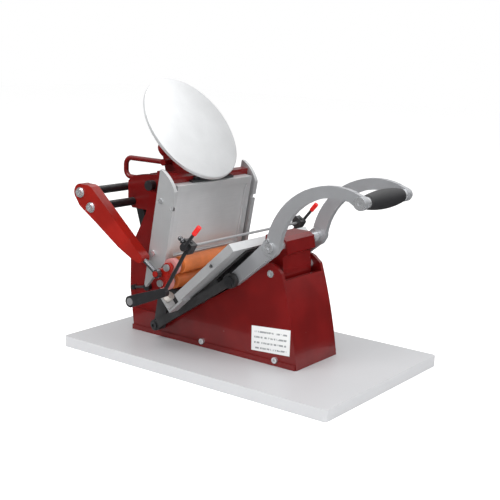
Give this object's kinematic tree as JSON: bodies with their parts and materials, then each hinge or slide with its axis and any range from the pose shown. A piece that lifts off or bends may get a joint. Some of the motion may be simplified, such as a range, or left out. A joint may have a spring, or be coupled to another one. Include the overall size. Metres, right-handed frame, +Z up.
{
  "type": "tabletop printing press",
  "caption": "Tabletop hand platen press on a board: lever handle rocks the platen shut against a fixed bed while inked rollers run from type to ink disc.",
  "frame": {"origin": "middle of the underside of the baseboard", "axes": "+X to the operator and the handle, +Y across the press to the left of someone facing along +X, +Z up"},
  "size_m": [0.613, 0.39, 0.515],
  "materials": {
    "baseboard": "satin white laminate",
    "body_casting": "glossy dark red enamel",
    "label_plate": "blank white plate",
    "base_bolts": "bright zinc",
    "foot_bars": "dark grey enamel",
    "rear_frame": "glossy dark red enamel",
    "pivot_bracket": "glossy dark red enamel",
    "bracket_knob": "black",
    "bed_plate": "glossy dark red enamel",
    "rails": "machined",
    "rail_bolts": "bright zinc",
    "chase": "brushed",
    "lockup_panel": "brushed",
    "chase_clamp": "black enamel",
    "disc_bracket": "glossy dark red enamel",
    "brace_tube": "glossy dark red enamel",
    "handle_post": "glossy dark red enamel",
    "ear_bolts": "bright zinc",
    "handle_shaft": "bright plated",
    "handle_arms": "satin",
    "lower_bars": "satin",
    "toggle_pins": "black enamel",
    "arm_screws": "bright zinc",
    "grip_spindle": "bright plated",
    "grip": "black",
    "pull_rods": "dark grey enamel",
    "rod_bolts": "black enamel",
    "platen_plate": "machined",
    "platen_rocker": "dark grey enamel",
    "rocker_shaft": "dark steel",
    "drive_crank": "dark grey enamel",
    "impression_screws": "bright zinc",
    "gauge_bracket": "bright zinc",
    "gauge_knob": "pale",
    "roller_arms": "glossy dark red enamel",
    "arm_rods": "dark steel",
    "arm_bolts": "bright zinc",
    "slide_rods": "bright plated",
    "saddles": "glossy dark red enamel",
    "upper_roller": "orange brown",
    "upper_spindle": "bright plated",
    "upper_runners": "pinkish nylon",
    "lower_roller": "orange brown",
    "lower_spindle": "bright plated",
    "lower_runners": "pinkish nylon",
    "ink_disc": "machined",
    "disc_spindle": "bright plated",
    "ratchet_ring": "black enamel",
    "drive_link": "black enamel",
    "gripper_arms": "black enamel",
    "gripper_posts": "black enamel",
    "gripper_rod": "bright plated",
    "gripper_blocks": "black enamel",
    "gripper_nuts": "bright plated",
    "near_clamp_lever": "black",
    "near_lever_tip": "red",
    "far_clamp_lever": "black",
    "far_lever_tip": "red",
    "lock_lever": "black"
  },
  "bodies": {
    "base": {"baseboard": "baseboard", "body_casting": "body_casting", "label_plate": "label_plate", "base_bolts": "base_bolts", "foot_bars": "foot_bars", "rear_frame": "rear_frame", "pivot_bracket": "pivot_bracket", "bracket_knob": "bracket_knob", "bed_plate": "bed_plate", "rails": "rails", "rail_bolts": "rail_bolts", "chase": "chase", "lockup_panel": "lockup_panel", "chase_clamp": "chase_clamp", "disc_bracket": "disc_bracket", "brace_tube": "brace_tube", "handle_post": "handle_post", "ear_bolts": "ear_bolts", "handle_shaft": "handle_shaft"},
    "handle": {"handle_arms": "handle_arms", "lower_bars": "lower_bars", "toggle_pins": "toggle_pins", "arm_screws": "arm_screws", "grip_spindle": "grip_spindle"},
    "grip": {"grip": "grip"},
    "pull_rods": {"pull_rods": "pull_rods", "rod_bolts": "rod_bolts"},
    "platen": {"platen_plate": "platen_plate", "platen_rocker": "platen_rocker", "rocker_shaft": "rocker_shaft", "drive_crank": "drive_crank", "impression_screws": "impression_screws", "gauge_bracket": "gauge_bracket"},
    "gauge_knob": {"gauge_knob": "gauge_knob"},
    "roller_arms": {"roller_arms": "roller_arms", "arm_rods": "arm_rods", "arm_bolts": "arm_bolts"},
    "slide_rods": {"slide_rods": "slide_rods"},
    "saddles": {"saddles": "saddles"},
    "upper_roller": {"upper_roller": "upper_roller", "upper_spindle": "upper_spindle", "upper_runners": "upper_runners"},
    "lower_roller": {"lower_roller": "lower_roller", "lower_spindle": "lower_spindle", "lower_runners": "lower_runners"},
    "ink_disc": {"ink_disc": "ink_disc", "disc_spindle": "disc_spindle", "ratchet_ring": "ratchet_ring"},
    "drive_link": {"drive_link": "drive_link"},
    "gripper": {"gripper_arms": "gripper_arms", "gripper_posts": "gripper_posts", "gripper_rod": "gripper_rod", "gripper_blocks": "gripper_blocks", "gripper_nuts": "gripper_nuts"},
    "near_lever": {"near_clamp_lever": "near_clamp_lever", "near_lever_tip": "near_lever_tip"},
    "far_lever": {"far_clamp_lever": "far_clamp_lever", "far_lever_tip": "far_lever_tip"},
    "lock_lever": {"lock_lever": "lock_lever"}
  },
  "joints": [
    {"name": "handle_swing", "type": "hinge", "parent": "base", "child": "handle", "pos_m": [0.097, 0, 0.238], "axis": [0, 1, 0], "range_deg": [0, 42.45]},
    {"name": "platen_rock", "type": "hinge", "parent": "base", "child": "platen", "pos_m": [-0.145, 0, 0.114], "axis": [0, -1, 0], "range_deg": [0, 38.21]},
    {"name": "pull_rods_swing", "type": "hinge", "parent": "handle", "child": "pull_rods", "pos_m": [0.018, 0, 0.166], "axis": [0, -1, 0], "range_deg": [0, 69.14]},
    {"name": "roller_arms_swing", "type": "hinge", "parent": "base", "child": "roller_arms", "pos_m": [-0.2675, 0, 0.2721], "axis": [0, -1, 0], "range_deg": [0, 95.14]},
    {"name": "slide_rods_travel", "type": "slide", "parent": "roller_arms", "child": "slide_rods", "axis": [0.839, 0, -0.5442], "range_m": [0, 0.0203]},
    {"name": "saddle_tilt", "type": "hinge", "parent": "slide_rods", "child": "saddles", "pos_m": [-0.107, 0, 0.168], "axis": [0, 1, 0], "range_deg": [0, 33.05]},
    {"name": "upper_roller_spin", "type": "hinge", "parent": "saddles", "child": "upper_roller", "pos_m": [-0.08963, 0, 0.18097], "axis": [0, 1, 0], "continuous": true},
    {"name": "lower_roller_spin", "type": "hinge", "parent": "saddles", "child": "lower_roller", "pos_m": [-0.10437, 0, 0.14923], "axis": [0, 1, 0], "continuous": true},
    {"name": "ink_disc_turn", "type": "hinge", "parent": "base", "child": "ink_disc", "pos_m": [-0.1513, 0, 0.4259], "axis": [0.7965, 0, 0.6046], "continuous": true},
    {"name": "gripper_swing", "type": "hinge", "parent": "base", "child": "gripper", "pos_m": [-0.145, 0, 0.114], "axis": [0, -1, 0], "range_deg": [0, 29.72]},
    {"name": "near_clamp_turn", "type": "hinge", "parent": "gripper", "child": "near_lever", "pos_m": [-0.0114, -0.184, 0.2374], "axis": [0, 1, 0], "range_deg": [-60, 60]},
    {"name": "far_clamp_turn", "type": "hinge", "parent": "gripper", "child": "far_lever", "pos_m": [-0.0114, 0.184, 0.2374], "axis": [0, 1, 0], "range_deg": [-60, 60]},
    {"name": "drive_link_swing", "type": "hinge", "parent": "roller_arms", "child": "drive_link", "pos_m": [-0.296, 0, 0.2975], "axis": [0, 1, 0], "range_deg": [0, 87.78]},
    {"name": "grip_spin", "type": "hinge", "parent": "handle", "child": "grip", "pos_m": [0.273, 0, 0.338], "axis": [0, 1, 0], "continuous": true},
    {"name": "gauge_knob_turn", "type": "hinge", "parent": "platen", "child": "gauge_knob", "pos_m": [-0.09044, -0.11, 0.13387], "axis": [0.7337, 0, 0.6794], "continuous": true},
    {"name": "lock_lever_turn", "type": "hinge", "parent": "base", "child": "lock_lever", "pos_m": [-0.204, -0.06, 0.112], "axis": [0, 1, 0], "range_deg": [-30, 30]}
  ],
  "couplings": [
    {"joint": "platen_rock", "follows": "handle_swing", "ratio": 0.89976},
    {"joint": "pull_rods_swing", "follows": "handle_swing", "ratio": 1.6283},
    {"joint": "roller_arms_swing", "follows": "handle_swing", "ratio": 2.2407},
    {"joint": "saddle_tilt", "follows": "handle_swing", "ratio": 0.77803},
    {"joint": "gripper_swing", "follows": "handle_swing", "ratio": 0.69958},
    {"joint": "drive_link_swing", "follows": "handle_swing", "ratio": 2.0673},
    {"joint": "slide_rods_travel", "follows": "handle_swing", "m_per_rad": 0.02728}
  ]
}
